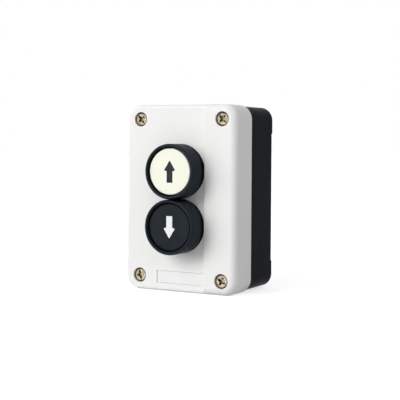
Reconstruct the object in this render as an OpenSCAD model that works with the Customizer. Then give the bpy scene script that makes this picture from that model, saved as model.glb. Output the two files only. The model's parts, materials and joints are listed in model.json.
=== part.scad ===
// Two-button surface station: a two-part rounded box with an up button and a down button,
// screwed to a wall, with a contact block behind each button.
// Everything is drawn lying on its back (x to the right, y up the wall, z out of the wall),
// and upright() then stands it up, with the front facing -Y and +Z up.

/* [Enclosure] */
// Overall width
box_w = 71; // [70:0.5:76]
// Overall height
box_h = 104; // [102:0.5:112]
// Wall to the front of the raised strip
box_d = 46; // [45:0.5:52]
// Depth of the lid, from the seam to the front face
lid_d = 18; // [17:0.5:20]
// Radius of the four corners, seen from the front
corner_r = 8.2; // [7:0.1:9.5]
// Rounding between the face and the sides
face_r = 4.4; // [3:0.1:5]
// Side wall thickness
wall_t = 3.2; // [3:0.1:3.6]
// Thickness of the front panel
panel_t = 2.8; // [2.4:0.1:3.2]
// Floor thickness of the base
floor_t = 3; // [2.6:0.1:3.4]
// How far the base stands in from the lid all round
base_step = 0.6; // [0.2:0.1:0.9]
// Height of the corner feet on the back
foot_h = 0.9; // [0.6:0.1:1.4]
// Side of each corner foot
foot_len = 15; // [12:0.5:18]

/* [Raised strip and label] */
// From the bezels to the raised strip along the right edge
step_gap = 0.2; // [0.1:0.05:2]
// Height of the strip above the rest of the face
step_rise = 1.5; // [1:0.1:2]
// Edge radius along the strip
step_r = 0.7; // [0.4:0.1:2.4]
// Edge radius round the rest of the face
plain_r = 2; // [1:0.1:2.6]
// From the middle to the left end of the label recess
label_left = 15; // [12:0.2:16]
// From the label recess to the strip
label_end = 0.6; // [0.5:0.1:2]
// Height of the label recess
label_h = 6.9; // [5:0.1:7.5]
// Height of the label's middle above the bottom edge
label_up = 8; // [7.4:0.1:8.4]
// Depth of the label recess
label_depth = 0.7; // [0.5:0.05:0.9]
// Thickness of the label
label_t = 0.35; // [0.2:0.05:0.4]
// Gap between the label and its recess
label_gap = 0.15; // [0.1:0.05:0.3]

/* [Lid screws and seal] */
// From the lid screws to the sides of the box
screw_in_x = 9.2; // [9:0.1:10]
// From the lid screws to the ends of the box
screw_in_y = 8.05; // [7.85:0.05:8.65]
// Lid screw thread diameter
screw_d = 4; // [3.5:0.1:4]
// Lid screw length under the head
screw_len = 25; // [22:1:28]
// Lid screw head diameter
head_d = 7.2; // [6.8:0.1:7.4]
// Lid screw head height
head_t = 2.4; // [2:0.1:2.6]
// Depth of the head's seat below the face
seat_depth = 3.5; // [3.2:0.1:4.4]
// Gap between the screw head and its recess
recess_gap = 0.5; // [0.35:0.05:0.7]
// Outer radius of the corner posts
post_r = 5.6; // [5.4:0.1:5.9]
// Length of the threaded inserts
insert_len = 8; // [6:0.5:10]
// Wall of the threaded inserts
insert_wall = 0.8; // [0.6:0.1:1]
// Thickness of the base's sealing tongue
tongue_t = 1.4; // [1.2:0.1:1.5]
// Height of the tongue above the seam
tongue_h = 3; // [2.5:0.1:3.5]
// Gap beside the tongue
tongue_gap = 0.15; // [0.1:0.05:0.25]
// Thickness of the lid gasket
gasket_t = 1.2; // [1:0.1:1.5]

/* [Wall holes and cable entries] */
// Wall hole spacing across
hole_dx = 26; // [24:1:28]
// Wall hole spacing up the wall
hole_dy = 82; // [80:1:84]
// Wall hole diameter
hole_d = 4.5; // [4:0.1:5]
// Diameter of the pads round the wall holes
hole_pad_d = 9.4; // [9:0.2:10]
// Diameter of the knockouts in the two ends
knockout_d = 20.5; // [16:0.5:20.5]
// Wall left at the knockout's score line
knockout_skin = 0.7; // [0.5:0.1:1]
// Width of the knockout's score line
score_w = 0.8; // [0.6:0.1:1]

/* [Button heads] */
// Gap between the two bezels
bezel_gap = 0.1; // [0.1:0.1:1.4]
// Wall of the bezels round the caps
bezel_wall = 2.15; // [1.9:0.05:2.4]
// Thickness of the bezels behind the caps
bezel_floor = 2.6; // [2:0.1:3]
// Rounding of the bezel's front edge
bezel_edge = 1; // [0.4:0.1:1.2]
// Diameter of the button caps
cap_d = 25.2; // [24.6:0.1:25.6]
// Gap between cap and bezel
cap_gap = 0.35; // [0.3:0.01:0.4]
// Height of the button caps
cap_h = 5.2; // [4.6:0.1:5.6]
// Depth of the cap's face below the bezel's rim
cap_sink = 1.4; // [0.8:0.1:1.8]
// Skin thickness of the caps
cap_t = 1.5; // [1.2:0.1:1.7]
// Button travel
travel = 4; // [3.6:0.1:4]
// Diameter of the bezel's barrel
barrel_d = 21.8; // [21.6:0.1:22]
// Gap between the barrel and the lid's hole
barrel_gap = 0.25; // [0.15:0.05:0.3]
// Length of the barrel behind the face
barrel_len = 16; // [15.6:0.1:16.4]
// Wall of the barrel round the pusher
barrel_wall = 2.32; // [2.22:0.02:2.5]
// Running fit between pusher and barrel
pusher_fit = 0.08; // [0.04:0.01:0.1]
// Stem diameter
stem_d = 6.4; // [6:0.1:6.8]
// Key width, for the barrel in the lid and the pusher in the barrel
key_w = 3; // [2.6:0.1:3.4]
// Wall of the ring nut
nut_wall = 2.85; // [2.6:0.05:3.2]
// Ring nut thickness
nut_t = 5; // [4:0.5:5.5]
// Gap in the ring nut's thread
nut_fit = 0.05; // [0.03:0.01:0.1]

/* [Arrows] */
// Arrow length
arrow_len = 12.2; // [10:0.2:14]
// Arrow head width
arrow_w = 7; // [6:0.2:8]
// Arrow head length
arrow_head = 5.4; // [4.6:0.2:6]
// Shaft width
arrow_shaft = 3.7; // [3:0.1:4.2]
// Depth of the arrow inlay
arrow_t = 0.6; // [0.4:0.1:0.8]

/* [Contact blocks] */
// From the terminal screws to the contact block's ends
terminal_in = 3.5; // [3.2:0.1:3.8]
// Gap between the fixing screws' heads and the block's side walls
fixing_gap = 0.7; // [0.5:0.1:1.2]
// Contact block floor thickness
block_floor = 2; // [1.6:0.1:2.2]
// Contact block side wall thickness
block_side = 1.8; // [1.6:0.1:2]
// Height of the ledges that carry the fixed contacts
ledge_h = 2.6; // [2.4:0.1:3]
// Height of the posts under the blocks
seat_h = 1.5; // [1.2:0.1:1.8]
// Gap between the cover and the terminal screws
terminal_gap = 0.5; // [0.4:0.1:0.8]
// Terminal screw diameter
terminal_d = 3.5; // [3:0.1:3.5]
// Spacing of the block's fixing screws up the wall
fixing_dy = 14; // [13.6:0.1:14.2]
// Fixing screw diameter
fixing_d = 2.8; // [2.5:0.1:3]
// Width of the fixed contact strips
strip_w = 6; // [5:0.2:6]
// Thickness of the fixed contact strips
strip_t = 1; // [0.8:0.1:1.2]
// Spacing of the contact rivets
rivet_dx = 15; // [14.6:0.1:15.4]
// Contact rivet diameter
rivet_d = 3.4; // [3:0.1:3.6]
// Opening between the contacts
contact_gap = 2.4; // [2.2:0.1:2.4]
// Cover wall thickness
cover_t = 1.4; // [1.2:0.1:1.5]
// Contact plunger diameter
plunger_d = 6; // [5.6:0.1:6.4]
// Running fit of the contact plunger
plunger_fit = 0.08; // [0.04:0.01:0.1]
// Bridge contact thickness
bridge_t = 0.8; // [0.6:0.1:1]
// Bridge contact width
bridge_w = 4.6; // [4.4:0.1:5]

/* [Hidden] */
$fn = 64;

eps = 0.01;
cut = 1;

// levels, out from the wall
seam_z = box_d - lid_d;
face_z = box_d;
main_z = face_z - step_rise;
panel_z = main_z - panel_t;
strip_panel_z = face_z - panel_t;
floor_z = foot_h + floor_t;
stop_gap = 0.3;
bezel_h = bezel_floor + stop_gap + travel + cap_h + cap_sink;
bezel_z = main_z + bezel_h;
cap_z = bezel_z - cap_sink;
cap_foot = cap_z - cap_h;
recess_z = cap_foot - travel - stop_gap;
pusher_z = cap_z - cap_t;
barrel_z = main_z - barrel_len;
barrel_floor = 2;
snap_gap = 0.2;
snap_t = 1.5;
stem_z = barrel_z - snap_gap - snap_t;
pusher_skirt = 8.5;
pusher_foot = barrel_z + pusher_skirt;
spring_seat = barrel_z + barrel_floor;
spring_len = 16.5;
spring_wire = 0.9;
spring_d = 10.4;
spring_halves = 12;
pusher_roof = spring_seat + spring_len;

// outline of the seal and the cavity
cav_x = box_w / 2 - wall_t;
cav_y = box_h / 2 - wall_t;
sx = box_w / 2 - screw_in_x;
sy = box_h / 2 - screw_in_y;
screw_dx = 2 * sx;
screw_dy = 2 * sy;
rebate_g = tongue_t + tongue_gap;
rebate_h = tongue_h + gasket_t;
gasket_gap = 0.1;
base_w = box_w - 2 * base_step;
base_h = box_h - 2 * base_step;
base_r = corner_r - base_step;

// lid screws
seat_z = main_z - seat_depth;
screw_r = screw_d / 2;
thread_gap = 0.05;
shank_gap = 0.25;
insert_r = screw_r + thread_gap + insert_wall;
screw_tip = seat_z - screw_len;
blind_run = 2;
blind_z = screw_tip - blind_run;
recess_r = head_d / 2 + recess_gap;
cross_w = 0.9;
cross_len = 4.4;
cross_depth = 1.4;

// wall holes and entries
hole_ring_h = 1.5;
entry_z = (foot_h + seam_z) / 2;
entry_wall = wall_t - base_step;

// heads, strip and label
barrel_r = barrel_d / 2;
cap_r = cap_d / 2;
recess_in_r = cap_r + cap_gap;
bezel_r = recess_in_r + bezel_wall;
rim_flat = 0.1;
pitch = 2 * bezel_r + bezel_gap;
guide_r = barrel_r - barrel_wall;
pusher_r = guide_r - pusher_fit;
nut_d = 2 * (barrel_r + nut_fit + nut_wall);
step_x = bezel_r + step_gap;
step_lift = 0.02;
step_under = 2;
label_right = step_x - label_end;
label_w = label_left + label_right;
label_y = label_up - box_h / 2;
stem_r = stem_d / 2;
stem_gap = 0.6;
snap_lip = 1.2;
snap_r = stem_r + snap_lip;
snap_slot = 1;
snap_slot_h = 6;
seal_t = 0.7;
seal_in_gap = 0.6;
seal_in = barrel_r + seal_in_gap;
seal_rim = 1;
seal_out = bezel_r - seal_rim;
lid_hole_r = barrel_r + barrel_gap;
key_h = 1;
key_gap = 0.2;
rib_w = 2.2;
rib_h = 0.9;
rib_gap = 0.35;
rib_end_gap = 0.4;
pusher_wall = 1.3;
cap_wall = 1.3;
socket_gap = 0.05;
socket_wall = 1;
nut_notch = 3;
nut_notch_depth = 1.2;
nut_notches = 8;
heads_y = pitch / 2;
lid_rib_out = 2.6;
lid_rib_t = 1.6;
lid_rib_h = 3;

// contact blocks
block_z = floor_z + seat_h;
tray_z = block_z + block_floor;
ledge_z = tray_z + ledge_h;
side_h = 4;
side_z = ledge_z + side_h;
strip_z = ledge_z + strip_t;
rivet_h = 0.6;
bridge_rivet_h = 0.5;
bridge_z = strip_z + rivet_h + contact_gap + bridge_rivet_h;
bridge_top = bridge_z + bridge_t;
contact_spring_len = 3.1;
flange_z = bridge_top + contact_spring_len;
flange_t = 1.4;
flange_lip = 1.4;
flange_r = plunger_d / 2 + flange_lip;
ceiling_gap = 0.2;
ceiling_z = flange_z + flange_t + ceiling_gap;
cover_z = ceiling_z + cover_t;
push_gap = 0.3;
plunger_top = stem_z - push_gap;
plunger_r = plunger_d / 2;
neck_r = 1.6;
neck_fit = 0.08;
collar_r = 2.6;
tail_r = 1.4;
plunger_coil_r = 2.1;
plunger_wire_r = 0.25;
plunger_halves = 10;
contact_coil_r = 2.05;
contact_wire_r = 0.2;
contact_halves = 4;
collar_t = 1.2;
collar_z = bridge_z - collar_t;
tail_len = 1.9;
tail_z = collar_z - tail_len;
spring_well = 1;
well_r = 3.4;
bridge_end = 0.4;
bridge_side_gap = 0.6;
bridge_len = rivet_dx + rivet_d + 2 * bridge_end;
cover_x = bridge_len / 2 + bridge_side_gap + cover_t;
clamp_w = 6;
clamp_t = 1.2;
terminal_head_r = 2.9;
terminal_head_t = 2.2;
terminal_x = cover_x + terminal_gap + terminal_head_r;
terminal_hole_gap = 0.3;
terminal_tip_gap = 0.5;
fixing_x = terminal_x;
fixing_head_r = 2.5;
fixing_head_t = 1.8;
fixing_len = 7.4;
fixing_tip_gap = 1;
fixing_r = fixing_d / 2;
fixing_hole_gap = 0.2;
fixing_post_r = 3.5;
block_w = 2 * (terminal_x + terminal_in);
block_h = fixing_dy + 2 * (fixing_head_r + fixing_gap + block_side);
strip_back = 2.5;
strip_in = rivet_dx / 2 - strip_back;
strip_end = 1.3;
strip_out = block_w / 2 - strip_end;
strip_gap = 0.1;
ledge_back = 1;
ledge_in = strip_in + ledge_back;
cover_side_gap = 0.15;
cover_y = block_h / 2 - block_side - cover_side_gap;
lug_w = 6;
lug_t = 1.2;
lug_out = 0.9;
lug_drop = 2.4;
lug_z = side_z - lug_drop;
lug_gap = 0.3;

// Stands the drawing up.
module upright() {
  rotate([90, 0, 0]) children();
}

// Draws something at all four corners of a rectangle.
module at_corners(dx, dy) {
  for (x = [-dx / 2, dx / 2], y = [-dy / 2, dy / 2]) translate([x, y, 0]) children();
}

// Mirrors a corner piece into all four quadrants.
module four_quadrants() {
  for (mx = [0, 1], my = [0, 1]) mirror([mx, 0, 0]) mirror([0, my, 0]) children();
}

module quarter_disc(r) {
  intersection() {
    circle(r = r);
    square([r, r]);
  }
}

// A rounded rectangle, made of pieces that meet face to face.
module round_rect(w, h, r) {
  square([w - 2 * r, h], center = true);
  for (m = [0, 1]) mirror([m, 0]) translate([w / 2 - r, -h / 2 + r]) square([r, h - 2 * r]);
  for (mx = [0, 1], my = [0, 1]) mirror([mx, 0]) mirror([0, my])
    translate([w / 2 - r, h / 2 - r]) quarter_disc(r);
}

// A strip of width r and height d whose outer top edge has the radius f.
module edge_profile(r, d, f) {
  square([r - f, d]);
  translate([r - f, 0]) square([f, d - f]);
  translate([r - f, d - f]) quarter_disc(f);
}

// A block with rounded corners and a rounded front edge.
module pillow(w, h, d, r, f) {
  translate([-w / 2 + r, -h / 2 + r, 0]) cube([w - 2 * r, h - 2 * r, d]);
  for (m = [0, 1]) mirror([m, 0, 0]) translate([w / 2 - r, h / 2 - r, 0])
    rotate([90, 0, 0]) linear_extrude(h - 2 * r) edge_profile(r, d, f);
  for (m = [0, 1]) mirror([0, m, 0]) translate([-w / 2 + r, h / 2 - r, 0])
    rotate([90, 0, 90]) linear_extrude(w - 2 * r) edge_profile(r, d, f);
  four_quadrants() translate([w / 2 - r, h / 2 - r, 0])
    rotate_extrude(angle = 90) edge_profile(r, d, f);
}

// Plan of one corner post, rounded towards the middle of the box.
module post_plan(r) {
  reach = box_h / 4;
  translate([sx, sy]) {
    square([reach, reach]);
    translate([-r, 0]) square([r, reach]);
    translate([0, -r]) square([reach, r]);
    rotate(180) quarter_disc(r);
  }
}

// Plan of the cavity, grown by g on every side.
module cavity_plan(g) {
  difference() {
    square([2 * (cav_x + g), 2 * (cav_y + g)], center = true);
    for (mx = [0, 1], my = [0, 1]) mirror([mx, 0]) mirror([0, my]) post_plan(post_r - g);
  }
}

// A ring round the cavity between two growths.
module seal_ring(g1, g2, h) {
  linear_extrude(h) difference() {
    cavity_plan(g2);
    cavity_plan(g1);
  }
}

// What is cut off the lid's block, so that only the strip along the right edge keeps its full height.
// The strip's edge crosses the face at a slight angle instead of just touching it.
module plain_face_cut() {
  low = main_z - plain_r;
  difference() {
    translate([-box_w / 2 - cut, -box_h / 2 - cut, low])
      cube([box_w / 2 + cut + step_x + step_r, box_h + 2 * cut, plain_r + step_rise + cut]);
    translate([0, 0, low - cut])
      pillow(box_w + 2 * eps, box_h + 2 * eps, plain_r + cut, corner_r + eps, plain_r);
    translate([0, box_h / 2 + 2 * cut, 0]) rotate([90, 0, 0]) linear_extrude(box_h + 4 * cut) {
      translate([step_x + step_r, face_z - step_r + step_lift]) mirror([1, 0]) quarter_disc(step_r);
      translate([step_x, low - cut]) square([step_r + cut, face_z - step_r + step_lift - low + cut]);
      translate([step_x + step_r, face_z - step_r]) square([cut, step_r + 2 * cut]);
    }
  }
}

// The two left screws, or what belongs to them, then the two right ones, which lie higher.
module at_screws() {
  for (sx_side = [-1, 1], sy_side = [-1, 1])
    translate([sx_side * sx, sy_side * sy, sx_side > 0 ? step_rise : 0]) children();
}

// Panel hole with its keyway.
module panel_hole() {
  translate([0, 0, panel_z - cut]) cylinder(r = lid_hole_r, h = panel_t + 2 * cut);
  translate([-key_w / 2 - key_gap, 0, panel_z - cut])
    cube([key_w + 2 * key_gap, barrel_r + key_h + key_gap, panel_t + 2 * cut]);
}

module base_shell() {
  translate([0, 0, foot_h]) linear_extrude(seam_z - foot_h) round_rect(base_w, base_h, base_r);
  linear_extrude(foot_h + eps) intersection() {
    round_rect(base_w, base_h, base_r);
    for (mx = [0, 1], my = [0, 1]) mirror([mx, 0]) mirror([0, my])
      translate([base_w / 2 - foot_len, base_h / 2 - foot_len]) square([foot_len, foot_len]);
  }
  at_corners(hole_dx, hole_dy) cylinder(d = hole_pad_d, h = foot_h + eps);
}

module base() {
  color([0.13, 0.14, 0.16]) upright() difference() {
    union() {
      difference() {
        base_shell();
        translate([0, 0, floor_z]) linear_extrude(seam_z) cavity_plan(0);
      }
      translate([0, 0, seam_z - eps]) seal_ring(0, tongue_t, tongue_h + eps);
      at_corners(hole_dx, hole_dy) translate([0, 0, floor_z - eps])
        cylinder(d = hole_pad_d, h = hole_ring_h + eps);
      for (s = [-1, 1]) translate([0, s * heads_y, 0]) at_corners(2 * fixing_x, fixing_dy)
        translate([0, 0, floor_z - eps]) cylinder(r = fixing_post_r, h = seat_h + eps);
    }
    at_corners(screw_dx, screw_dy) {
      translate([0, 0, seam_z - insert_len]) cylinder(r = insert_r, h = insert_len + cut);
      translate([0, 0, blind_z]) cylinder(r = screw_r + shank_gap, h = seam_z - blind_z);
    }
    at_corners(hole_dx, hole_dy) translate([0, 0, -cut])
      cylinder(d = hole_d, h = floor_z + hole_ring_h + 2 * cut);
    for (s = [-1, 1]) translate([0, s * heads_y, 0]) at_corners(2 * fixing_x, fixing_dy)
      translate([0, 0, ledge_z - fixing_len - cut / 2])
        cylinder(r = fixing_r + thread_gap, h = fixing_len);
    for (s = [0, 1]) mirror([0, s, 0]) translate([0, base_h / 2 + cut, entry_z])
      rotate([90, 0, 0]) difference() {
        cylinder(d = knockout_d, h = entry_wall - knockout_skin + cut);
        translate([0, 0, -cut]) cylinder(d = knockout_d - 2 * score_w, h = entry_wall + 3 * cut);
      }
  }
}

module post_inserts() {
  color([0.75, 0.6, 0.3]) upright() at_corners(screw_dx, screw_dy)
    translate([0, 0, seam_z - insert_len]) difference() {
      cylinder(r = insert_r, h = insert_len);
      translate([0, 0, -cut]) cylinder(r = screw_r + thread_gap, h = insert_len + 2 * cut);
    }
}

module lid() {
  rib_x = nut_d / 2 + lid_rib_out;
  color([0.94, 0.94, 0.93]) upright() difference() {
    union() {
      difference() {
        translate([0, 0, seam_z]) pillow(box_w, box_h, lid_d, corner_r, face_r);
        plain_face_cut();
        translate([0, 0, seam_z - cut]) linear_extrude(panel_z - seam_z + cut) cavity_plan(0);
        translate([0, 0, seam_z]) linear_extrude(strip_panel_z - seam_z) intersection() {
          cavity_plan(0);
          translate([step_x + step_under, -box_h / 2]) square([box_w, box_h]);
        }
      }
      for (s = [-1, 1]) translate([s * rib_x - lid_rib_t / 2, -cav_y - eps, panel_z - lid_rib_h])
        cube([lid_rib_t, 2 * cav_y + 2 * eps, lid_rib_h + eps]);
    }
    translate([0, 0, seam_z - cut]) linear_extrude(rebate_h + cut) cavity_plan(rebate_g);
    for (s = [-1, 1]) translate([0, s * heads_y, 0]) panel_hole();
    at_corners(screw_dx, screw_dy)
      translate([0, 0, seam_z - cut]) cylinder(r = screw_r + shank_gap, h = lid_d);
    at_screws() translate([0, 0, seat_z]) cylinder(r = recess_r, h = seat_depth + cut);
    translate([-label_left, label_y - label_h / 2, main_z - label_depth])
      cube([label_w, label_h, label_depth + cut]);
  }
}

module lid_gasket() {
  color([0.18, 0.18, 0.2]) upright() translate([0, 0, seam_z + tongue_h])
    seal_ring(gasket_gap, tongue_t + gasket_gap, gasket_t);
}

module lid_screws() {
  head_edge = 0.5;
  color([0.79, 0.72, 0.5]) upright() at_screws() translate([0, 0, seat_z])
    difference() {
      union() {
        translate([0, 0, -screw_len]) cylinder(r = screw_r, h = screw_len + eps);
        rotate_extrude() edge_profile(head_d / 2, head_t, head_edge);
      }
      for (a = [0, 90]) rotate(a) translate([-cross_len / 2, -cross_w / 2, head_t - cross_depth])
        cube([cross_len, cross_w, cross_depth + cut]);
    }
}

module legend_label() {
  color([0.95, 0.95, 0.95]) upright()
    translate([-label_left + label_gap, label_y - label_h / 2 + label_gap,
      main_z - label_depth])
    cube([label_w - 2 * label_gap, label_h - 2 * label_gap, label_t]);
}

// One button head, centred on the axis of its hole.
module bezel_piece() {
  dish_w = bezel_wall - bezel_edge - rim_flat;
  dish_h = cap_sink - rim_flat;
  color([0.16, 0.18, 0.2]) upright() difference() {
    union() {
      translate([0, 0, main_z]) rotate_extrude() edge_profile(bezel_r, bezel_h, bezel_edge);
      translate([0, 0, barrel_z]) cylinder(r = barrel_r, h = barrel_len + eps);
      translate([-key_w / 2, 0, panel_z]) cube([key_w, barrel_r + key_h, main_z - panel_z + eps]);
    }
    translate([0, 0, recess_z]) cylinder(r = recess_in_r, h = bezel_h);
    translate([0, 0, bezel_z - dish_h])
      cylinder(r1 = recess_in_r, r2 = recess_in_r + dish_w * (dish_h + cut) / dish_h, h = dish_h + cut);
    translate([0, 0, spring_seat]) cylinder(r = guide_r, h = bezel_z - spring_seat);
    translate([0, 0, barrel_z - cut]) cylinder(r = stem_r + stem_gap, h = barrel_len);
    translate([-guide_r - rib_h - rib_end_gap, -rib_w / 2 - rib_gap, spring_seat])
      cube([2 * (guide_r + rib_h + rib_end_gap), rib_w + 2 * rib_gap, bezel_z - spring_seat]);
    translate([0, 0, main_z - cut]) difference() {
      cylinder(r = seal_out, h = seal_t + cut);
      cylinder(r = seal_in, h = seal_t + cut);
    }
  }
}

module panel_seal_piece() {
  color([0.1, 0.1, 0.1]) upright() translate([0, 0, main_z]) difference() {
    cylinder(r = seal_out, h = seal_t);
    translate([0, 0, -cut]) cylinder(r = seal_in, h = seal_t + 2 * cut);
  }
}

module ring_nut_piece() {
  color([0.25, 0.26, 0.28]) upright() translate([0, 0, panel_z - nut_t]) difference() {
    cylinder(d = nut_d, h = nut_t);
    translate([0, 0, -cut]) cylinder(r = barrel_r + nut_fit, h = nut_t + 2 * cut);
    for (i = [0 : nut_notches - 1]) rotate((i + 0.5) * 360 / nut_notches)
      translate([nut_d / 2 - nut_notch_depth, -nut_notch / 2, -cut])
        cube([nut_notch_depth + cut, nut_notch, nut_t + 2 * cut]);
  }
}

// The arrow, pointing up.
module arrow_plan() {
  tip = arrow_len / 2;
  neck = arrow_head + 0.6;
  polygon([[0, tip], [-arrow_w / 2, tip - arrow_head], [-arrow_shaft / 2, tip - neck],
    [-arrow_shaft / 2, -tip], [arrow_shaft / 2, -tip], [arrow_shaft / 2, tip - neck],
    [arrow_w / 2, tip - arrow_head]]);
}

module cap_piece(tone, turn) {
  cap_edge = 0.4;
  color(tone) upright() difference() {
    union() {
      difference() {
        translate([0, 0, cap_foot]) rotate_extrude() edge_profile(cap_r, cap_h, cap_edge);
        translate([0, 0, cap_foot - cut]) cylinder(r = cap_r - cap_wall, h = cap_h - cap_t + cut);
      }
      translate([0, 0, cap_foot])
        cylinder(r = pusher_r + socket_gap + socket_wall, h = cap_h - cap_t + eps);
    }
    translate([0, 0, cap_foot - cut]) cylinder(r = pusher_r + socket_gap, h = cap_h - cap_t + cut);
    translate([0, 0, cap_z - arrow_t]) rotate(turn) linear_extrude(arrow_t + cut) arrow_plan();
  }
}

module arrow_piece(tone, turn) {
  color(tone) upright() translate([0, 0, cap_z - arrow_t]) rotate(turn)
    linear_extrude(arrow_t) arrow_plan();
}

module pusher_piece() {
  web = 2;
  rib_top = cap_foot - 1;
  color([0.3, 0.31, 0.33]) upright() difference() {
    union() {
      difference() {
        translate([0, 0, pusher_foot]) cylinder(r = pusher_r, h = pusher_z - pusher_foot);
        translate([0, 0, pusher_foot - cut])
          cylinder(r = pusher_r - pusher_wall, h = pusher_roof - pusher_foot + cut);
        translate([0, 0, pusher_roof + web])
          cylinder(r = pusher_r - pusher_wall, h = pusher_z);
      }
      translate([0, 0, stem_z]) cylinder(r = stem_r, h = pusher_roof - stem_z + eps);
      translate([0, 0, stem_z])
        cylinder(r1 = stem_r, r2 = snap_r, h = snap_t / 2);
      translate([0, 0, stem_z + snap_t / 2]) cylinder(r = snap_r, h = snap_t / 2);
      for (m = [0, 1]) mirror([m, 0, 0])
        translate([pusher_r - pusher_wall / 2, -rib_w / 2, pusher_foot])
          cube([pusher_wall / 2 + rib_h, rib_w, rib_top - pusher_foot - travel]);
    }
    translate([-snap_r - cut, -snap_slot / 2, stem_z - cut])
      cube([2 * (snap_r + cut), snap_slot, snap_slot_h + cut]);
  }
}

// A spring of true round wire: tilted half turns that meet end to end, with both ends ground flat.
// The slope is a whole number of thousandths, so that neighbouring turns meet exactly.
module coil(len, mean_r, wire_r, halves) {
  slope = ceil(500 * len / (halves * mean_r)) / 1000;
  rise = 2 * mean_r * slope;
  tilt = asin(slope);
  intersection() {
    translate([0, 0, (len - halves * rise) / 2]) union() {
      for (i = [0 : halves - 1]) translate([0, 0, (i + 0.5) * rise])
        rotate([0, i % 2 == 0 ? tilt : -tilt, 0]) rotate(i % 2 == 0 ? 0 : 180)
          half_turn(mean_r, wire_r);
    }
    cylinder(r = mean_r + 2 * wire_r, h = len);
  }
}

module half_turn(r, wire_r) {
  rotate_extrude(angle = 180, $fn = 32) translate([r, 0]) circle(r = wire_r, $fn = 16);
}

module return_spring_piece() {
  color([0.7, 0.7, 0.72]) upright() translate([0, 0, spring_seat])
    coil(spring_len, spring_d / 2, spring_wire / 2, spring_halves);
}

// One contact block, centred under its button.
module housing_piece() {
  half_w = block_w / 2;
  half_h = block_h / 2;
  color([0.86, 0.84, 0.78]) upright() difference() {
    union() {
      translate([-half_w, -half_h, block_z]) cube([block_w, block_h, block_floor]);
      for (m = [0, 1]) mirror([m, 0, 0]) translate([ledge_in, -half_h, block_z])
        cube([half_w - ledge_in, block_h, block_floor + ledge_h]);
      for (m = [0, 1]) mirror([0, m, 0]) translate([-half_w, half_h - block_side, block_z])
        cube([block_w, block_side, side_z - block_z]);
    }
    translate([0, 0, tray_z - spring_well]) cylinder(r = well_r, h = ledge_h);
    for (m = [-1, 1]) translate([m * terminal_x, 0, tray_z])
      cylinder(r = terminal_d / 2 + terminal_hole_gap, h = ledge_h + cut);
    at_corners(2 * fixing_x, fixing_dy) translate([0, 0, block_z - cut])
      cylinder(r = fixing_r + fixing_hole_gap, h = block_floor + ledge_h + 2 * cut);
    for (m = [0, 1]) mirror([0, m, 0])
      translate([-lug_w / 2 - lug_gap, half_h - block_side - cut, lug_z - lug_gap])
        cube([lug_w + 2 * lug_gap, block_side + 2 * cut, lug_t + 2 * lug_gap]);
  }
}

module cover_piece() {
  color([0.2, 0.45, 0.32]) upright() difference() {
    union() {
      translate([-cover_x, -cover_y, ledge_z]) cube([2 * cover_x, 2 * cover_y, cover_z - ledge_z]);
      for (m = [0, 1]) mirror([0, m, 0]) translate([-lug_w / 2, cover_y - eps, lug_z])
        cube([lug_w, lug_out + eps, lug_t]);
    }
    translate([-cover_x + cover_t, -cover_y + cover_t, ledge_z - cut])
      cube([2 * (cover_x - cover_t), 2 * (cover_y - cover_t), ceiling_z - ledge_z + cut]);
    translate([-cover_x - cut, -strip_w / 2 - strip_gap, ledge_z - cut])
      cube([2 * (cover_x + cut), strip_w + 2 * strip_gap, strip_t + cut]);
    translate([0, 0, ceiling_z - cut]) cylinder(r = plunger_r + plunger_fit, h = cover_t + 2 * cut);
  }
}

module plunger_piece() {
  tip_c = 0.6;
  color([0.75, 0.2, 0.16]) upright() {
    translate([0, 0, flange_z]) cylinder(r = flange_r, h = flange_t);
    translate([0, 0, flange_z + flange_t])
      cylinder(r = plunger_r, h = plunger_top - tip_c - flange_z - flange_t);
    translate([0, 0, plunger_top - tip_c])
      cylinder(r1 = plunger_r, r2 = plunger_r - tip_c, h = tip_c);
    translate([0, 0, collar_z + collar_t]) cylinder(r = neck_r, h = flange_z - collar_z - collar_t);
    translate([0, 0, collar_z]) cylinder(r = collar_r, h = collar_t);
    translate([0, 0, tail_z]) cylinder(r = tail_r, h = collar_z - tail_z);
  }
}

module plunger_spring_piece() {
  seat = tray_z - spring_well;
  color([0.7, 0.7, 0.72]) upright() translate([0, 0, seat])
    coil(collar_z - seat, plunger_coil_r, plunger_wire_r, plunger_halves);
}

module contact_spring_piece() {
  color([0.7, 0.7, 0.72]) upright() translate([0, 0, bridge_top])
    coil(contact_spring_len, contact_coil_r, contact_wire_r, contact_halves);
}

module bridge_piece() {
  color([0.8, 0.55, 0.35]) upright() difference() {
    union() {
      translate([-bridge_len / 2, -bridge_w / 2, bridge_z]) cube([bridge_len, bridge_w, bridge_t]);
      for (s = [-1, 1]) translate([s * rivet_dx / 2, 0, bridge_z - bridge_rivet_h])
        cylinder(d = rivet_d, h = bridge_rivet_h + eps);
    }
    translate([0, 0, bridge_z - cut]) cylinder(r = neck_r + neck_fit, h = bridge_t + 2 * cut);
  }
}

module fixed_contacts_piece() {
  color([0.8, 0.68, 0.4]) upright() for (m = [0, 1]) mirror([m, 0, 0]) difference() {
    union() {
      translate([strip_in, -strip_w / 2, ledge_z]) cube([strip_out - strip_in, strip_w, strip_t]);
      translate([rivet_dx / 2, 0, strip_z - eps]) cylinder(d = rivet_d, h = rivet_h + eps);
    }
    translate([terminal_x, 0, ledge_z - cut])
      cylinder(r = terminal_d / 2 + thread_gap, h = strip_t + 2 * cut);
  }
}

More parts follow.
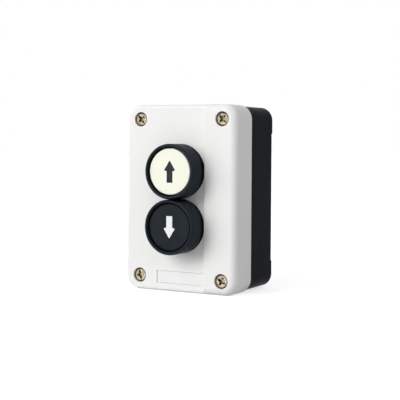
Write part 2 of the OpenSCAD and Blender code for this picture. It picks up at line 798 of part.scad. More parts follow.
module terminal_screws_piece() {
  slot_w = 0.8;
  color([0.72, 0.73, 0.75]) upright() for (s = [-1, 1]) translate([s * terminal_x, 0, strip_z])
    difference() {
      union() {
        translate([-clamp_w / 2, -clamp_w / 2, 0]) cube([clamp_w, clamp_w, clamp_t]);
        translate([0, 0, clamp_t]) cylinder(r = terminal_head_r, h = terminal_head_t);
        translate([0, 0, -strip_t - ledge_h + terminal_tip_gap])
          cylinder(d = terminal_d, h = strip_t + ledge_h - terminal_tip_gap + eps);
      }
      rotate(30) translate([-terminal_head_r - cut, -slot_w / 2, clamp_t + terminal_head_t / 2])
        cube([2 * (terminal_head_r + cut), slot_w, terminal_head_t]);
    }
}

module block_screws_piece() {
  cross = 2.6;
  cross_t = 0.7;
  color([0.72, 0.73, 0.75]) upright() at_corners(2 * fixing_x, fixing_dy)
    translate([0, 0, ledge_z]) difference() {
      union() {
        cylinder(r = fixing_head_r, h = fixing_head_t);
        translate([0, 0, -fixing_len + fixing_tip_gap])
          cylinder(r = fixing_r, h = fixing_len - fixing_tip_gap + eps);
      }
      for (a = [0, 90]) rotate(a) translate([-cross / 2, -cross_t / 2, fixing_head_t / 2])
        cube([cross, cross_t, fixing_head_t]);
    }
}

module up_place() {
  translate([0, 0, heads_y]) children();
}

module down_place() {
  translate([0, 0, -heads_y]) children();
}

module up_bezel() { up_place() bezel_piece(); }
module up_panel_seal() { up_place() panel_seal_piece(); }
module up_ring_nut() { up_place() ring_nut_piece(); }
module up_cap() { up_place() cap_piece([0.96, 0.96, 0.9], 0); }
module up_arrow() { up_place() arrow_piece([0.22, 0.23, 0.25], 0); }
module up_pusher() { up_place() pusher_piece(); }
module up_return_spring() { up_place() return_spring_piece(); }
module down_bezel() { down_place() bezel_piece(); }
module down_panel_seal() { down_place() panel_seal_piece(); }
module down_ring_nut() { down_place() ring_nut_piece(); }
module down_cap() { down_place() cap_piece([0.15, 0.18, 0.21], 180); }
module down_arrow() { down_place() arrow_piece([0.93, 0.93, 0.93], 180); }
module down_pusher() { down_place() pusher_piece(); }
module down_return_spring() { down_place() return_spring_piece(); }
module up_block_housing() { up_place() housing_piece(); }
module up_block_cover() { up_place() cover_piece(); }
module up_contact_plunger() { up_place() plunger_piece(); }
module up_plunger_spring() { up_place() plunger_spring_piece(); }
module up_bridge_contact() { up_place() bridge_piece(); }
module up_contact_spring() { up_place() contact_spring_piece(); }
module up_fixed_contacts() { up_place() fixed_contacts_piece(); }
module up_terminal_screws() { up_place() terminal_screws_piece(); }
module up_block_screws() { up_place() block_screws_piece(); }
module down_block_housing() { down_place() housing_piece(); }
module down_block_cover() { down_place() cover_piece(); }
module down_contact_plunger() { down_place() plunger_piece(); }
module down_plunger_spring() { down_place() plunger_spring_piece(); }
module down_bridge_contact() { down_place() bridge_piece(); }
module down_contact_spring() { down_place() contact_spring_piece(); }
module down_fixed_contacts() { down_place() fixed_contacts_piece(); }
module down_terminal_screws() { down_place() terminal_screws_piece(); }
module down_block_screws() { down_place() block_screws_piece(); }

base();
post_inserts();
lid();
lid_gasket();
lid_screws();
legend_label();
up_bezel();
up_panel_seal();
up_ring_nut();
up_cap();
up_arrow();
up_pusher();
up_return_spring();
down_bezel();
down_panel_seal();
down_ring_nut();
down_cap();
down_arrow();
down_pusher();
down_return_spring();
up_block_housing();
up_block_cover();
up_contact_plunger();
up_plunger_spring();
up_bridge_contact();
up_contact_spring();
up_fixed_contacts();
up_terminal_screws();
up_block_screws();
down_block_housing();
down_block_cover();
down_contact_plunger();
down_plunger_spring();
down_bridge_contact();
down_contact_spring();
down_fixed_contacts();
down_terminal_screws();
down_block_screws();
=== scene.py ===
import json
import math

import bmesh
import bpy
from mathutils import Matrix, Vector


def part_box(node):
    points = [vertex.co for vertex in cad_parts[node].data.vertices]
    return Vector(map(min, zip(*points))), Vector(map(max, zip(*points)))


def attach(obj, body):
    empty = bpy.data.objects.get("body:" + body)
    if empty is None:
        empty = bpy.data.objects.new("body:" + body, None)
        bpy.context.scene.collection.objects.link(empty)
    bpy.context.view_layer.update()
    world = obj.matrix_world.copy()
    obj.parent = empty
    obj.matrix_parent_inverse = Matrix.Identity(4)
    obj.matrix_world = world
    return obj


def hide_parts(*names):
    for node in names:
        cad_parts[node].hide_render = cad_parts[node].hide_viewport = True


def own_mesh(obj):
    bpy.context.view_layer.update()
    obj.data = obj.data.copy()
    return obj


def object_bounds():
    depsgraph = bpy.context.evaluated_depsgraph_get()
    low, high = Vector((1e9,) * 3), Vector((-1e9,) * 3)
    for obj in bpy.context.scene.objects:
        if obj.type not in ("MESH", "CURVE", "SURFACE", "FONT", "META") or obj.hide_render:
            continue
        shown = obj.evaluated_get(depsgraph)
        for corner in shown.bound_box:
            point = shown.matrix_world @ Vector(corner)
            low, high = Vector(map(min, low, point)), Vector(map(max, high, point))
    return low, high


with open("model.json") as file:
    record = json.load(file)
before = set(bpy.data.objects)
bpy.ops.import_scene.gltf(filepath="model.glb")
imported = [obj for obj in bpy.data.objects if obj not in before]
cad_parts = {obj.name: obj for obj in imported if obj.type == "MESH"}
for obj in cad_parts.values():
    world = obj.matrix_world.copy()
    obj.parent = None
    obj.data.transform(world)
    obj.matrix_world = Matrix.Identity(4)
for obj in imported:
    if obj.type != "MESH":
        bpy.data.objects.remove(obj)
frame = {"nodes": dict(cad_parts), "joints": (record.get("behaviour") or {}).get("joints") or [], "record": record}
cad_box = [list(corner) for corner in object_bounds()]
nodes = frame["nodes"]
MM = 0.001
SIDES = ("up", "down")

# All sizes below are in mm unless a line says otherwise

# Heads of the lid screws: the solid's size, and the drawn head, which is a little larger
CAD_HEAD_R = 3.6
CAD_HEAD_T = 2.4
HEAD_R = 3.75
HEAD_T = 2.9
HEAD_RIM = 1.7
HEAD_CHAMFER = 0.18
HEAD_SEG = 72
SHOULDER_R = 1.0
SHOULDER_DRAFT = 0.2
SHOULDER_STEPS = 10
CROWN_R = 1.2
CROWN_DROP = 0.02
CROWN_EDGE_DROP = 0.07

# How far all cutters reach over the top of the head
CUT_ABOVE = 0.8

# The cross: arm length, half width and corner fillet at its top and at its foot, and its depth
CROSS_TOP = (2.75, 0.74, 0.35)
CROSS_FOOT = (1.5, 0.5, 0.2)
CROSS_DEPTH = 1.9

# Where the middle point of a fillet lies, as a share of the fillet
CORNER_BULGE = 0.45

# The slot, and the ticks between the arms
SLOT_HALF = 0.26
SLOT_OVER = 0.3
SLOT_DEPTH = 0.6
TICK_IN = 0.4
TICK_OUT = 2.35
TICK_HALF = 0.16
TICK_FOOT_OUT = 2.1
TICK_FOOT_HALF = 0.05
TICK_DEPTH_IN = 0.5
TICK_DEPTH_OUT = 0.32
TICK_DEGREES = (45, 135, 225, 315)

# Shanks of the lid screws
SHANK_R = 2.0
SHANK_ROOT = 1.68
SHANK_LEN = 25.0
SHANK_GAP = 0.02
SHANK_PITCH = 0.7
SHANK_SEG = 28

# How far the right screws stand above the left ones
STEP_RISE = 1.5

# How far each screw is turned, in degrees, by its side and height
SCREW_TURNS = {(-1, 1): 38, (1, 1): 46, (-1, -1): 12, (1, -1): 61}

# All threads: where the flank starts and how much it takes, as shares of half a pitch
FLANK_START = 0.15
FLANK_SPAN = 0.7

# Rows of points in one pitch of a thread, and the fewest in a whole thread
THREAD_ROWS = 6
THREAD_ROWS_LEAST = 4

# Barrel threads: sleeves in the barrel's skin that stay clear of its end and of the nut
BARREL_R = 10.9
BARREL_CREST = 0.18
BARREL_SKIN = 0.1
BARREL_PITCH = 1.0
BARREL_CLEAR = 0.4
BARREL_SEG = 72

# Springs: wire radius, and working and dead turns
RETURN_COIL = {"wire_r": 0.45, "turns": 4.6, "dead": 0.8}
PLUNGER_COIL = {"wire_r": 0.25, "turns": 5.0, "dead": 0.8}
CONTACT_COIL = {"wire_r": 0.2, "turns": 2.0, "dead": 0.6}

# Coils: points round the wire, rings in a turn, seat in wire radii, and how far turns draw to the ends
COIL_SIDES = 12
COIL_STEPS = 36
COIL_SEAT = 0.55
COIL_EASE = 0.012

# How sharply two faces turn before their edge is drawn sharp, in degrees
HEAD_CREASE = 35
SCREW_CREASE = 32
COIL_CREASE = 60
BARREL_CREASE = 60

# Points of a mesh that are closer than this, in metres, are merged
WELD = 1e-8

# What all finishes share. GLOSS_SIZE is a share of the finish's tone_size
DRIFT_SPAN = (0.35, 0.65)
GLOSS_SIZE = 0.35
COOL_TINT = (0.68, 0.84, 1.0, 1.0)
BEVEL_SAMPLES = 4
BUMP_STRENGTH = 0.6
RECESS_SAMPLES = 16

# Floor: half its width in metres, how far it lies under the object, and its look
FLOOR_HALF = 6.0
FLOOR_DROP = 0.02
FLOOR_TONES = ((0.64, 0.64, 0.64), (0.66, 0.66, 0.66))
FLOOR_TONE_SIZE = 330.0
FLOOR_ROUGHNESS = 0.9
FLOOR_SPECULAR = 0.05
FLOOR_GLOW = 0.7

# Light from all round: its colour and level, and how much brighter it is towards each axis
WORLD_COLOUR = (0.98, 0.96, 1.0, 1)
WORLD_LEVEL = 0.505
WORLD_TILT = (0.06, 0.0, 0.0)

# The point the lamps look at, in metres
LAMP_TARGET = (0, -0.02, 0)

# Lamps: name, direction from that point, distance and size in metres, and power in watts
LAMPS = (
    ("left_lamp", (-0.95, -1.0, 0.15), 4.0, 3.6, 90.0),
    ("upper_lamp", (-0.4, -1.0, 0.6), 4.0, 2.0, 60.0),
)

# The view, fitted to the photograph: turns in radians, lengths in mm, the rest in its pixels
PHOTO_PX = 400.0
VIEW_TURN = 0.506
VIEW_ROLL = 0.0072
VIEW_DISTANCE = 574.3
VIEW_AIM = (1.24, -25.0, 31.0)
VIEW_FOCAL_PX = 1008.4
VIEW_CENTRE_PX = 142.6
SENSOR_WIDTH = 36.0

# How near and how far the camera sees, in metres
VIEW_NEAR = 0.01
VIEW_FAR = 30.0


# Places: the bench frame has x right, y up the wall and z out of it, in mm
def stand(point):
    """From the bench frame in mm to the row frame in metres."""
    return Vector((point[0], -point[2], point[1])) * MM


def bench_box(node):
    """The lowest and highest corner of a node at rest, in the bench frame."""
    low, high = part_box(node)
    return (Vector((low.x, low.z, -high.y)) / MM, Vector((high.x, high.z, -low.y)) / MM)


def strokes():
    """How far each sliding joint goes, in mm."""
    return {joint["name"]: joint["range_m"][1] / MM for joint in frame["joints"]}


def place(verts, at, turn=0.0):
    """Turned about the bench z axis, moved to a bench point and stood up."""
    c, s = math.cos(turn), math.sin(turn)
    return [stand((x * c - y * s + at[0], x * s + y * c + at[1], z + at[2])) for x, y, z in verts]


# Mesh helpers
def link_mesh(name, mesh):
    """An object that shows a mesh."""
    ob = bpy.data.objects.new(name, mesh)
    bpy.context.scene.collection.objects.link(ob)
    return ob


def mesh_object(name, verts, faces, crease):
    """A mesh with smooth shading, and sharp edges where two faces turn by more than crease degrees."""
    mesh = bpy.data.meshes.new(name)
    mesh.from_pydata([tuple(v) for v in verts], [], faces)
    mesh.validate()
    bm = bmesh.new()
    bm.from_mesh(mesh)
    bmesh.ops.remove_doubles(bm, verts=bm.verts, dist=WELD)
    bmesh.ops.recalc_face_normals(bm, faces=bm.faces)
    for face in bm.faces:
        face.smooth = True
    for edge in bm.edges:
        if len(edge.link_faces) == 2 and edge.calc_face_angle(0.0) > math.radians(crease):
            edge.smooth = False
    bm.to_mesh(mesh)
    bm.free()
    return link_mesh(name, mesh)


def circle(radius, z, seg):
    """seg points round the bench z axis."""
    angles = [2 * math.pi * k / seg for k in range(seg)]
    return [(radius * math.cos(a), radius * math.sin(a), z) for a in angles]


def tube_faces(rows, seg, start=0):
    """Quads between rows of seg points that close round."""
    faces = []
    for i in range(rows - 1):
        for k in range(seg):
            low = start + i * seg
            n = (k + 1) % seg
            faces.append((low + k, low + n, low + seg + n, low + seg + k))
    return faces


def revolve(profile, seg):
    """A closed solid from a profile of (radius, z) whose first and last points lie on the axis."""
    inner = profile[1:-1]
    verts = [p for radius, z in inner for p in circle(radius, z, seg)]
    faces = tube_faces(len(inner), seg)
    ends = ((profile[0][1], 0), (profile[-1][1], (len(inner) - 1) * seg))
    for z, row in ends:
        verts.append((0.0, 0.0, z))
        faces += [(len(verts) - 1, row + k, row + (k + 1) % seg) for k in range(seg)]
    return verts, faces


def thread(r_root, r_crest, pitch, z0, z1, seg, r_core=None):
    """A threaded rod, or a sleeve with a bore of r_core, from z0 to z1. The thread fades out at its ends."""
    rows = max(int((z1 - z0) / pitch * THREAD_ROWS), THREAD_ROWS_LEAST)
    verts = []
    for i in range(rows + 1):
        z = z0 + (z1 - z0) * i / rows
        fade = min(1.0, (z - z0) / pitch, (z1 - z) / pitch)
        for k in range(seg):
            phase = (z / pitch - k / seg) % 1.0
            flank = 1.0 - abs(2.0 * phase - 1.0)
            lift = min(max((flank - FLANK_START) / FLANK_SPAN, 0.0), 1.0) * fade
            radius = r_root + (r_crest - r_root) * lift
            angle = 2 * math.pi * k / seg
            verts.append((radius * math.cos(angle), radius * math.sin(angle), z))
    faces = tube_faces(rows + 1, seg)
    last = rows * seg
    if r_core is None:
        faces.append(tuple(range(seg)))
        faces.append(tuple(last + k for k in range(seg)))
        return verts, faces
    bore = len(verts)
    verts += circle(r_core, z0, seg) + circle(r_core, z1, seg)
    faces += tube_faces(2, seg, bore)
    for k in range(seg):
        n = (k + 1) % seg
        faces.append((k, n, bore + n, bore + k))
        faces.append((last + k, last + n, bore + seg + n, bore + seg + k))
    return verts, faces


def coil(z0, z1, mean_r, wire_r, turns, dead):
    """A compression spring with dead turns at both ends, ground flat at z0 and z1."""
    total = turns + 2 * dead
    steps = int(total * COIL_STEPS)
    seat = COIL_SEAT * wire_r
    verts = []
    for i in range(steps + 1):
        turn = total * i / steps
        rise = min(max((turn - dead) / turns, 0.0), 1.0)
        rise -= COIL_EASE * math.sin(2 * math.pi * rise)
        centre = z0 + seat + (z1 - z0 - 2 * seat) * rise
        angle = 2 * math.pi * turn
        for k in range(COIL_SIDES):
            around = 2 * math.pi * k / COIL_SIDES
            radius = mean_r + wire_r * math.cos(around)
            z = min(max(centre + wire_r * math.sin(around), z0), z1)
            verts.append((radius * math.cos(angle), radius * math.sin(angle), z))
    faces = tube_faces(steps + 1, COIL_SIDES)
    faces.append(tuple(range(COIL_SIDES)))
    faces.append(tuple(steps * COIL_SIDES + k for k in range(COIL_SIDES)))
    return verts, faces


# Materials
def new_material(name):
    """An empty material with one shader joined to its output."""
    material = bpy.data.materials.new(name)
    material.use_nodes = True
    tree = material.node_tree
    tree.nodes.clear()
    out = tree.nodes.new("ShaderNodeOutputMaterial")
    shader = tree.nodes.new("ShaderNodeBsdfPrincipled")
    tree.links.new(shader.outputs[0], out.inputs[0])
    return material, tree, shader


def noise(tree, coords, size, detail=3.0, rough=0.6):
    """Noise whose blobs are about size mm wide."""
    node = tree.nodes.new("ShaderNodeTexNoise")
    node.inputs["Scale"].default_value = 1.0 / (size * MM)
    node.inputs["Detail"].default_value = detail
    node.inputs["Roughness"].default_value = rough
    tree.links.new(coords, node.inputs["Vector"])
    return node.outputs["Fac"]


def ranged(tree, value, low, high, from_low=0.3, from_high=0.7):
    """value between from_low and from_high, moved to between low and high."""
    node = tree.nodes.new("ShaderNodeMapRange")
    node.inputs["From Min"].default_value = from_low
    node.inputs["From Max"].default_value = from_high
    node.inputs["To Min"].default_value = low
    node.inputs["To Max"].default_value = high
    tree.links.new(value, node.inputs["Value"])
    return node.outputs["Result"]


def colour_mix(tree, factor, first):
    """A mix node that starts from the colour first."""
    node = tree.nodes.new("ShaderNodeMix")
    node.data_type = "RGBA"
    node.inputs["A"].default_value = (*first, 1)
    tree.links.new(factor, node.inputs["Factor"])
    return node


def two_colours(tree, factor, first, second):
    """A colour that goes from first to second."""
    node = colour_mix(tree, factor, first)
    node.inputs["B"].default_value = (*second, 1)
    return node.outputs["Result"]


def grooves(tree, coords, pitch, depth, grain):
    """Turned grooves along the object's y axis, pitch mm apart, laid over the grain."""
    parts = tree.nodes.new("ShaderNodeSeparateXYZ")
    tree.links.new(coords, parts.inputs[0])
    angle = tree.nodes.new("ShaderNodeMath")
    angle.operation = "MULTIPLY"
    angle.inputs[1].default_value = 2 * math.pi / (pitch * MM)
    tree.links.new(parts.outputs["Y"], angle.inputs[0])
    wave = tree.nodes.new("ShaderNodeMath")
    wave.operation = "SINE"
    tree.links.new(angle.outputs[0], wave.inputs[0])
    total = tree.nodes.new("ShaderNodeMath")
    total.operation = "MULTIPLY_ADD"
    total.inputs[1].default_value = depth
    tree.links.new(wave.outputs[0], total.inputs[0])
    tree.links.new(grain, total.inputs[2])
    return total.outputs[0]


def brushed(tree, coords, stretch, grain):
    """Grain drawn out along an axis, as on rolled strip."""
    node = tree.nodes.new("ShaderNodeMapping")
    node.inputs["Scale"].default_value = stretch
    tree.links.new(coords, node.inputs["Vector"])
    return noise(tree, node.outputs[0], grain)


def shade_in_recesses(tree, unshaded, dirt, reach, low, high):
    """Painted shade in recesses: a dark colour where surfaces within reach mm leave less than low open, going to
    the plain colour where high is open.
    """
    open_to = tree.nodes.new("ShaderNodeAmbientOcclusion")
    open_to.samples = RECESS_SAMPLES
    open_to.inputs["Distance"].default_value = reach * MM
    node = colour_mix(tree, ranged(tree, open_to.outputs["AO"], 0.0, 1.0, low, high), dirt)
    tree.links.new(unshaded, node.inputs["B"])
    return node.outputs["Result"]


def surface(name, colour, roughness, metallic=0.0, specular=0.5, second=None, tone=0.03, tone_size=18.0,
            gloss_spread=0.06, grain=0.35, grain_depth=0.002, edge=0.2, cool=False, turned=None,
            stretch=None, dirt=None):
    """Colour that drifts between two tones, painted shade in recesses where asked for, uneven gloss, fine grain
    and softened edges. Sizes are in mm.
    """
    material, tree, shader = new_material(name)
    coords = tree.nodes.new("ShaderNodeTexCoord").outputs["Object"]
    darker = second or tuple(c * (1.0 - tone) for c in colour)
    lighter = tuple(min(c * (1.0 + tone), 1.0) for c in colour)
    drift = ranged(tree, noise(tree, coords, tone_size, detail=4.0), 0.0, 1.0, *DRIFT_SPAN)
    tint = two_colours(tree, drift, darker, lighter)
    # Painted shade: the colour goes dark in recesses, where ambient occlusion finds surfaces close by
    if dirt:
        tint = shade_in_recesses(tree, tint, *dirt)
    tree.links.new(tint, shader.inputs["Base Color"])
    shader.inputs["Metallic"].default_value = metallic
    shader.inputs["Specular IOR Level"].default_value = specular
    if cool:
        shader.inputs["Specular Tint"].default_value = COOL_TINT
    gloss = noise(tree, coords, GLOSS_SIZE * tone_size)
    gloss = ranged(tree, gloss, roughness - gloss_spread, roughness + gloss_spread)
    tree.links.new(gloss, shader.inputs["Roughness"])
    height = noise(tree, coords, grain, detail=2.0, rough=0.5)
    if turned:
        height = grooves(tree, coords, *turned, height)
    if stretch:
        height = brushed(tree, coords, stretch, grain)
    bevel = tree.nodes.new("ShaderNodeBevel")
    bevel.samples = BEVEL_SAMPLES
    bevel.inputs["Radius"].default_value = edge * MM
    bump = tree.nodes.new("ShaderNodeBump")
    bump.inputs["Strength"].default_value = BUMP_STRENGTH
    bump.inputs["Distance"].default_value = grain_depth * MM
    tree.links.new(height, bump.inputs["Height"])
    tree.links.new(bevel.outputs[0], bump.inputs["Normal"])
    tree.links.new(bump.outputs[0], shader.inputs["Normal"])
    return material


def box_finishes(finish):
    """The box with its screws, seal and label."""
    finish("lid_plastic", (0.868, 0.872, 0.85), 0.5, specular=0.2, tone=0.012, tone_size=30, grain=0.45,
           grain_depth=0.004, edge=0.15)
    finish("base_plastic", (0.008, 0.0103, 0.0145), 0.34, specular=0.01, cool=True, tone=0.12,
           tone_size=22, grain=0.3, grain_depth=0.012, edge=0.25)
    finish("label_white", (0.85, 0.865, 0.845), 0.55, specular=0.3, tone=0.015, tone_size=10, grain=0.2,
           grain_depth=0.006, edge=0.05)
    finish("gasket_rubber", (0.02, 0.02, 0.022), 0.75, specular=0.25, grain=0.25, grain_depth=0.02)
    # The screws' colour carries painted shade: it goes dark brown in the cross recess and in the gap round each
    # head
    finish("zinc_screw", (0.68, 0.6, 0.43), 0.3, metallic=1.0, second=(0.4, 0.33, 0.24), tone=0.15,
           tone_size=1.8, gloss_spread=0.1, grain=0.18, grain_depth=0.006, edge=0.08,
           dirt=((0.05, 0.027, 0.014), 1.2, 0.35, 0.9))
    finish("brass", (0.72, 0.5, 0.22), 0.35, metallic=1.0, tone=0.08, tone_size=3, gloss_spread=0.08,
           grain=0.2, grain_depth=0.01, edge=0.06, turned=(0.35, 2.0))


def head_finishes(finish):
    """The button heads and their springs."""
    # The bezels' colour carries painted shade: it goes near black on the dish slopes inside the rim and wherever
    # other surfaces lie close
    finish("black_gloss", (0.0275, 0.0345, 0.044), 0.32, specular=0.01, cool=True, tone=0.1, tone_size=12,
           grain=0.35, grain_depth=0.004, edge=0.15, dirt=((0.003, 0.004, 0.005), 2.4, 0.9, 1.0))
    finish("nut_plastic", (0.05, 0.052, 0.058), 0.55, specular=0.35, grain=0.3, grain_depth=0.01)
    finish("white_cap", (0.904, 0.922, 0.776), 0.34, specular=0.4, tone=0.01, tone_size=14, grain=0.6,
           edge=0.15)
    finish("black_cap", (0.0163, 0.0203, 0.0237), 0.36, specular=0.08, cool=True, tone=0.15, tone_size=9,
           grain=0.5, grain_depth=0.003, edge=0.15)
    finish("dark_arrow", (0.023, 0.029, 0.036), 0.4, specular=0.15, tone=0.25, tone_size=2.2, grain=0.3,
           grain_depth=0.003, edge=0.04)
    finish("white_arrow", (0.83, 0.84, 0.82), 0.4, tone=0.02, tone_size=3, grain=0.3, grain_depth=0.003,
           edge=0.04)
    finish("pusher_plastic", (0.09, 0.095, 0.1), 0.5, grain=0.3, grain_depth=0.006)
    finish("spring_steel", (0.55, 0.56, 0.58), 0.28, metallic=1.0, tone=0.06, tone_size=4, grain=0.12,
           grain_depth=0.004, edge=0.02)


def block_finishes(finish):
    """The contact blocks."""
    finish("block_plastic", (0.7, 0.66, 0.56), 0.5, specular=0.35, tone_size=9, grain=0.3,
           grain_depth=0.006)
    finish("cover_plastic", (0.05, 0.2, 0.1), 0.48, specular=0.35, tone=0.06, tone_size=9, grain=0.3,
           grain_depth=0.006)
    finish("plunger_plastic", (0.5, 0.05, 0.03), 0.4, tone=0.06, tone_size=6, grain=0.3,
           grain_depth=0.004)
    finish("bridge_copper", (0.75, 0.45, 0.3), 0.33, metallic=1.0, tone=0.08, tone_size=3, grain=0.25,
           grain_depth=0.006, stretch=(0.15, 1.0, 1.0))
    finish("steel_screw", (0.6, 0.61, 0.63), 0.32, metallic=1.0, tone=0.08, tone_size=3,
           gloss_spread=0.08, grain=0.2, grain_depth=0.006, edge=0.08)


def materials():
    """One finish for each material slot of the record."""
    made = {}

    def finish(name, *values, **options):
        made[name] = surface(name, *values, **options)

    box_finishes(finish)
    head_finishes(finish)
    block_finishes(finish)
    return made


def dress_nodes():
    """Each node gets the finish of its slot."""
    for subpart in frame["record"]["subparts"]:
        slots = nodes[subpart["node"]].data.materials
        slots.clear()
        slots.append(finishes[subpart["material_slot"]])


def add_piece(name, verts, faces, body, slot, crease, replaced=()):
    """A piece that rides on a body, with the finish of a slot, in place of the nodes in replaced."""
    piece = mesh_object(name, verts, faces, crease)
    piece.data.materials.append(finishes[slot])
    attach(piece, body)
    if replaced:
        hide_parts(*replaced)
    return piece


# Lid screws
def prism(bm, top, bottom):
    """A solid between two outlines with as many points."""
    upper = [bm.verts.new(p) for p in top]
    lower = [bm.verts.new(p) for p in bottom]
    bm.faces.new(upper)
    bm.faces.new(list(reversed(lower)))
    count = len(upper)
    for k in range(count):
        n = (k + 1) % count
        bm.faces.new((upper[k], lower[k], lower[n], upper[n]))


def turned_point(x, y, z, degrees):
    """A point turned about the bench z axis."""
    angle = math.radians(degrees)
    c, s = math.cos(angle), math.sin(angle)
    return (x * c - y * s, x * s + y * c, z)


def cross(arm, half, fillet, z):
    """A four-armed outline at z. A fillet point lies in each inner corner."""
    bulge = half + CORNER_BULGE * fillet
    quarter = ((arm, -half), (arm, half), (half + fillet, half), (bulge, bulge), (half, half + fillet))
    return [turned_point(x, y, z, 90 * q) for q in range(4) for x, y in quarter]


def bar(reach_in, reach_out, half, z_in, z_out):
    """A rectangle along x whose two ends may lie at different heights."""
    return ((reach_in, -half, z_in), (reach_out, -half, z_out),
            (reach_out, half, z_out), (reach_in, half, z_in))


def cutter(name, solids):
    """A hidden object made of prisms, to cut with."""
    bm = bmesh.new()
    for top, bottom in solids:
        prism(bm, top, bottom)
    bmesh.ops.recalc_face_normals(bm, faces=bm.faces)
    mesh = bpy.data.meshes.new(name)
    bm.to_mesh(mesh)
    bm.free()
    return link_mesh(name, mesh)


def head_profile():
    """The side of a pan head: a small chamfer below, a straight rim and a rolled shoulder."""
    profile = [(0, 0), (HEAD_R - HEAD_CHAMFER, 0), (HEAD_R, HEAD_CHAMFER), (HEAD_R, HEAD_RIM)]
    for k in range(1, SHOULDER_STEPS + 1):
        angle = math.pi / 2 * k / SHOULDER_STEPS
        radius = HEAD_R - SHOULDER_R * (1 - math.cos(angle)) - SHOULDER_DRAFT * k / SHOULDER_STEPS
        profile.append((radius, HEAD_RIM + (HEAD_T - HEAD_RIM - CROWN_EDGE_DROP) * math.sin(angle)))
    return profile + [(CROWN_R, HEAD_T - CROWN_DROP), (0, HEAD_T)]


def cross_recess():
    """The four arms, which narrow to the bottom."""
    return [(cross(*CROSS_TOP, HEAD_T + CUT_ABOVE), cross(*CROSS_FOOT, HEAD_T - CROSS_DEPTH))]


def slot():
    """A shallow slot across the whole head, along two of the arms."""
    reach = HEAD_R + SLOT_OVER
    outline = ((-SLOT_HALF, -reach), (SLOT_HALF, -reach), (SLOT_HALF, reach), (-SLOT_HALF, reach))
    levels = (HEAD_T + CUT_ABOVE, HEAD_T - SLOT_DEPTH)
    return [tuple([(x, y, z) for x, y in outline] for z in levels)]


def tick_marks():
    """Small ticks between the arms of the recess."""
    top = HEAD_T + CUT_ABOVE
    high = bar(TICK_IN, TICK_OUT, TICK_HALF, top, top)
    low = bar(TICK_IN, TICK_FOOT_OUT, TICK_FOOT_HALF, HEAD_T - TICK_DEPTH_IN, HEAD_T - TICK_DEPTH_OUT)
    return [tuple([turned_point(*p, degrees) for p in outline] for outline in (high, low))
            for degrees in TICK_DEGREES]


def screw_head():
    """A pan head with a cross recess, a slot through it and ticks between its arms."""
    verts, faces = revolve(head_profile(), HEAD_SEG)
    head = mesh_object("head_blank", verts, faces, HEAD_CREASE)
    cutters = [cutter("recess", cross_recess()), cutter("slot", slot()), cutter("ticks", tick_marks())]
    for tool in cutters:
        cut = head.modifiers.new("cut", "BOOLEAN")
        cut.operation = "DIFFERENCE"
        cut.solver = "EXACT"
        cut.object = tool
    bpy.context.view_layer.update()
    graph = bpy.context.evaluated_depsgraph_get()
    done = bpy.data.meshes.new_from_object(head.evaluated_get(graph))
    verts = [tuple(v.co) for v in done.vertices]
    faces = [tuple(p.vertices) for p in done.polygons]
    for ob in (head, *cutters):
        bpy.data.objects.remove(ob)
    return verts, faces


def lid_screws():
    """The four screws as one piece, in place of the node."""
    low, high = bench_box("lid_screws")
    reach_x = (high.x - low.x) / 2 - CAD_HEAD_R
    reach_y = (high.y - low.y) / 2 - CAD_HEAD_R
    shank = thread(SHANK_ROOT, SHANK_R, SHANK_PITCH, -SHANK_LEN, -SHANK_GAP, SHANK_SEG)
    parts = (screw_head(), shank)
    all_verts, all_faces = [], []
    for (i, j), degrees in SCREW_TURNS.items():
        seat = high.z - CAD_HEAD_T - (STEP_RISE if i < 0 else 0.0)
        for verts, faces in parts:
            start = len(all_verts)
            all_verts += place(verts, (i * reach_x, j * reach_y, seat), math.radians(degrees))
            all_faces += [tuple(start + k for k in face) for face in faces]
    add_piece("lid_screw_set", all_verts, all_faces, "station", "zinc_screw", SCREW_CREASE, ("lid_screws",))


# Springs and threads
def spring(name, node, body, joint, shrink, wire_r, turns, dead, seat_high=False):
    """A wire coil in place of a spring node. The arguments joint and shrink are not used."""
    low, high = bench_box(node)
    centre_y = (low.y + high.y) / 2
    mean_r = (high.x - low.x) / 2 - wire_r
    verts, faces = coil(low.z, high.z, mean_r, wire_r, turns, dead)
    piece = add_piece(name, place(verts, (0, centre_y, 0)), faces, body, "spring_steel", COIL_CREASE, (node,))
    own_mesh(piece)


def springs():
    """The return, plunger and contact spring of each button."""
    stroke = strokes()
    for side in SIDES:
        press, plunge, make = (stroke[side + end] for end in ("_press", "_plunge", "_make"))
        spring(side + "_return_coil", side + "_return_spring", "station", side + "_press", press,
               **RETURN_COIL)
        spring(side + "_plunger_coil", side + "_plunger_spring", "station", side + "_plunge", plunge,
               **PLUNGER_COIL)
        spring(side + "_contact_coil", side + "_contact_spring", side + "_plunger", side + "_press",
               plunge - make, **CONTACT_COIL, seat_high=True)


def barrel_threads():
    """The thread on each barrel, in the length behind the ring nut."""
    for side in SIDES:
        low, _ = bench_box(side + "_bezel")
        nut_low, nut_high = bench_box(side + "_ring_nut")
        centre_y = (nut_low.y + nut_high.y) / 2
        verts, faces = thread(BARREL_R, BARREL_R + BARREL_CREST, BARREL_PITCH, low.z + BARREL_CLEAR,
                              nut_low.z - BARREL_CLEAR, BARREL_SEG, BARREL_R - BARREL_SKIN)
        add_piece(side + "_barrel_thread", place(verts, (0, centre_y, 0)), faces, "station", "black_gloss",
                  BARREL_CREASE)


# Floor, light and camera
def shown_white(tree, plain, white):
    """plain as a light or a surface, and white where the camera, a reflection or clear plastic sees it."""
    path = tree.nodes.new("ShaderNodeLightPath")
    seen = path.outputs["Is Camera Ray"]
    for kind in ("Is Glossy Ray", "Is Transmission Ray"):
        most = tree.nodes.new("ShaderNodeMath")
        most.operation = "MAXIMUM"
        tree.links.new(seen, most.inputs[0])
        tree.links.new(path.outputs[kind], most.inputs[1])
        seen = most.outputs[0]
    mix = tree.nodes.new("ShaderNodeMixShader")
    tree.links.new(seen, mix.inputs[0])
    tree.links.new(plain, mix.inputs[1])
    tree.links.new(white, mix.inputs[2])
    return mix.outputs[0]


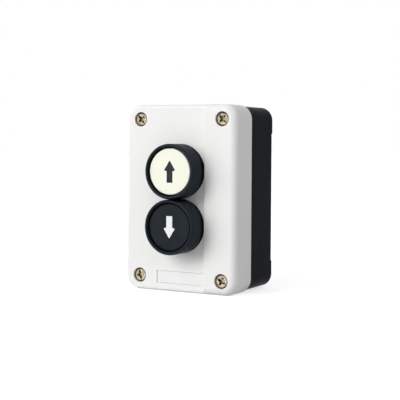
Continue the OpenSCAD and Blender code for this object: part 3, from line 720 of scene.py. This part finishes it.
def floor_material():
    """Pale grey that shows white where it is lit and keeps a shadow where it isn't."""
    material, tree, shader = new_material("studio_floor")
    coords = tree.nodes.new("ShaderNodeTexCoord").outputs["Object"]
    drift = noise(tree, coords, FLOOR_TONE_SIZE, detail=2.0, rough=0.55)
    tree.links.new(two_colours(tree, drift, *FLOOR_TONES), shader.inputs["Base Color"])
    shader.inputs["Roughness"].default_value = FLOOR_ROUGHNESS
    shader.inputs["Specular IOR Level"].default_value = FLOOR_SPECULAR
    unlit = tree.nodes.new("ShaderNodeEmission")
    unlit.inputs["Strength"].default_value = 0.0
    glow = tree.nodes.new("ShaderNodeEmission")
    glow.inputs["Strength"].default_value = FLOOR_GLOW
    both = tree.nodes.new("ShaderNodeAddShader")
    tree.links.new(shader.outputs[0], both.inputs[0])
    tree.links.new(shown_white(tree, unlit.outputs[0], glow.outputs[0]), both.inputs[1])
    out = next(node for node in tree.nodes if node.type == "OUTPUT_MATERIAL")
    tree.links.new(both.outputs[0], out.inputs[0])
    return material


def studio_floor():
    """A pale floor under the object, which keeps its shadow."""
    half = FLOOR_HALF
    z = cad_box[0][2] - FLOOR_DROP * MM
    mesh = bpy.data.meshes.new("studio_floor")
    corners = [(-half, -half, z), (half, -half, z), (half, half, z), (-half, half, z)]
    mesh.from_pydata(corners, [], [(0, 1, 2, 3)])
    ob = link_mesh("studio_floor", mesh)
    mesh.materials.append(floor_material())


def studio_world():
    """Soft light from all round, a little brighter from the right."""
    world = bpy.data.worlds.new("studio")
    bpy.context.scene.world = world
    world.use_nodes = True
    tree = world.node_tree
    tree.nodes.clear()
    out = tree.nodes.new("ShaderNodeOutputWorld")
    towards = tree.nodes.new("ShaderNodeTexCoord").outputs["Generated"]
    tilt = tree.nodes.new("ShaderNodeVectorMath")
    tilt.operation = "DOT_PRODUCT"
    tilt.inputs[1].default_value = WORLD_TILT
    tree.links.new(towards, tilt.inputs[0])
    level = tree.nodes.new("ShaderNodeMath")
    level.operation = "ADD"
    level.inputs[1].default_value = WORLD_LEVEL
    tree.links.new(tilt.outputs["Value"], level.inputs[0])
    lit = tree.nodes.new("ShaderNodeBackground")
    lit.inputs["Color"].default_value = WORLD_COLOUR
    tree.links.new(level.outputs[0], lit.inputs["Strength"])
    white = tree.nodes.new("ShaderNodeBackground")
    white.inputs["Color"].default_value = (1, 1, 1, 1)
    tree.links.new(shown_white(tree, lit.outputs[0], white.outputs[0]), out.inputs[0])


def lamp(name, direction, distance, size, power):
    """A round soft lamp that lies in a direction from the object's middle and looks at it."""
    way = Vector(direction).normalized()
    light = bpy.data.lights.new(name, "AREA")
    light.shape = "DISK"
    light.size = size
    light.energy = power
    ob = bpy.data.objects.new(name, light)
    ob.location = Vector(LAMP_TARGET) + way * distance
    ob.rotation_euler = way.to_track_quat("Z", "Y").to_euler()
    ob.visible_glossy = False
    bpy.context.scene.collection.objects.link(ob)


def camera():
    """The photograph's view: level, turned to the object's right side, with the frame shifted up."""
    data = bpy.data.cameras.new("camera")
    data.sensor_fit = "HORIZONTAL"
    data.sensor_width = SENSOR_WIDTH
    data.lens = VIEW_FOCAL_PX / PHOTO_PX * data.sensor_width
    data.shift_y = (VIEW_CENTRE_PX - PHOTO_PX / 2) / PHOTO_PX
    data.clip_start = VIEW_NEAR
    data.clip_end = VIEW_FAR
    ob = bpy.data.objects.new("camera", data)
    bpy.context.scene.collection.objects.link(ob)
    level = Matrix.Rotation(VIEW_TURN, 4, "Z") @ Matrix.Rotation(math.pi / 2, 4, "X")
    look = level.to_3x3() @ Vector((0, 0, -1))
    place_at = Vector(VIEW_AIM) * MM - look * VIEW_DISTANCE * MM
    ob.matrix_world = Matrix.Translation(place_at) @ level @ Matrix.Rotation(VIEW_ROLL, 4, "Z")
    bpy.context.scene.camera = ob


finishes = materials()
dress_nodes()
lid_screws()
springs()
barrel_threads()
studio_floor()
studio_world()
for row in LAMPS:
    lamp(*row)
camera()
bpy.context.scene.view_settings.view_transform = "Standard"
